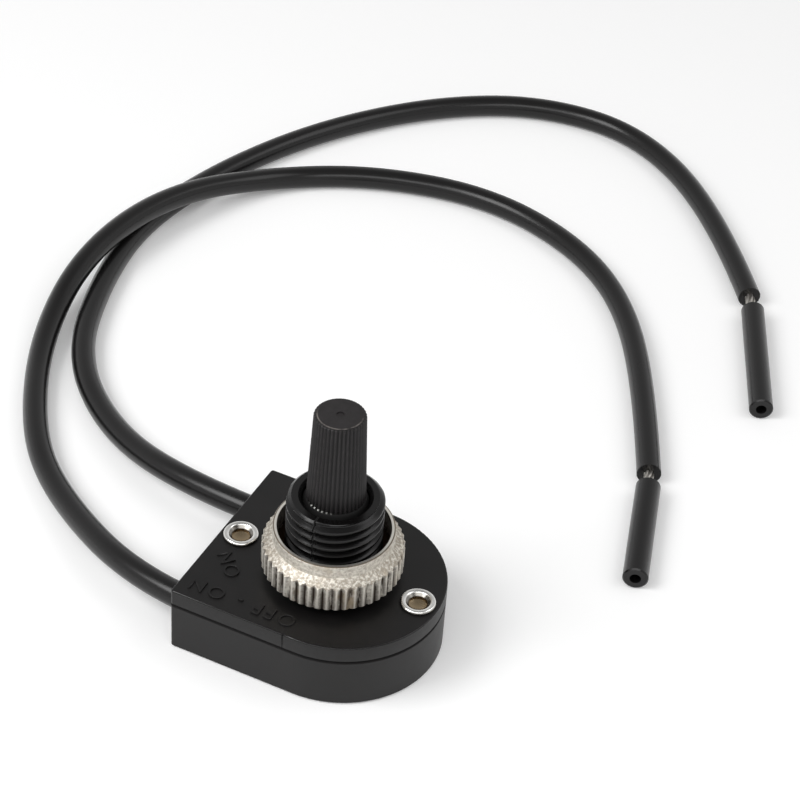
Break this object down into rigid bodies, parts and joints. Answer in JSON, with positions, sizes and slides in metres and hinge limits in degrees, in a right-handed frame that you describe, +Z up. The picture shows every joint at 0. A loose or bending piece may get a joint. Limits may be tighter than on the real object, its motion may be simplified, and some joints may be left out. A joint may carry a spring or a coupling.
{
  "type": "rotary canopy switch",
  "caption": "Small lamp switch: riveted black case with a threaded bushing, knurled ring nut, fluted stem that turns in quarter turns and dips when pressed, and two wire leads.",
  "frame": {"origin": "on the case's flat underside, under the bushing's axis", "axes": "+Z up along the bushing and the stem; +X from the flat back, where the leads leave, to the round nose; +Y across the case"},
  "size_m": [0.0838, 0.1139, 0.0284],
  "materials": {
    "case_black": "moulded black thermoset, satin, fine grain",
    "stem_black": "moulded black nylon, matte",
    "nickel_plate": "nickel-plated turned brass, bright with dull streaks",
    "rivet_plate": "bright nickel-plated tubular rivet",
    "carrier_brown": "moulded brown phenolic",
    "copper_strip": "half-hard copper strip",
    "brass_strip": "half-hard brass strip",
    "silver_contact": "silver contact button",
    "spring_steel": "drawn spring wire",
    "lead_pvc": "extruded black flexible covering, satin",
    "tinned_strand": "tinned copper strands"
  },
  "bodies": {
    "housing": {"base": "case_black", "cover": "case_black", "rear_rivet": "rivet_plate", "front_rivet": "rivet_plate", "terminal_a": "brass_strip", "terminal_b": "brass_strip", "contact_a": "silver_contact", "contact_b": "silver_contact", "core_a": "tinned_strand", "core_b": "tinned_strand", "return_spring": "spring_steel", "lead_a": "lead_pvc", "lead_b": "lead_pvc", "core_end_a": "tinned_strand", "core_end_b": "tinned_strand", "slug_a": "lead_pvc", "slug_b": "lead_pvc"},
    "ratchet": {"ratchet_plate": "carrier_brown"},
    "rotor": {"stem": "stem_black", "contact_carrier": "carrier_brown", "contact_bridge": "copper_strip", "bridge_buttons": "silver_contact"},
    "nut": {"ring_nut": "nickel_plate"}
  },
  "joints": [
    {"name": "stem_press", "type": "slide", "parent": "housing", "child": "ratchet", "axis": [0, 0, 1], "range_m": [-0.0008, 0], "stiffness_N_per_m": 600, "springref_m": 0.0015, "deforming": ["return_spring"]},
    {"name": "knob_turn", "type": "hinge", "parent": "ratchet", "child": "rotor", "pos_m": [0, 0, 0.0034], "axis": [0, 0, 1], "continuous": true},
    {"name": "nut_travel", "type": "slide", "parent": "housing", "child": "nut", "axis": [0, 0, 1], "range_m": [-0.0012, 0.009]}
  ]
}
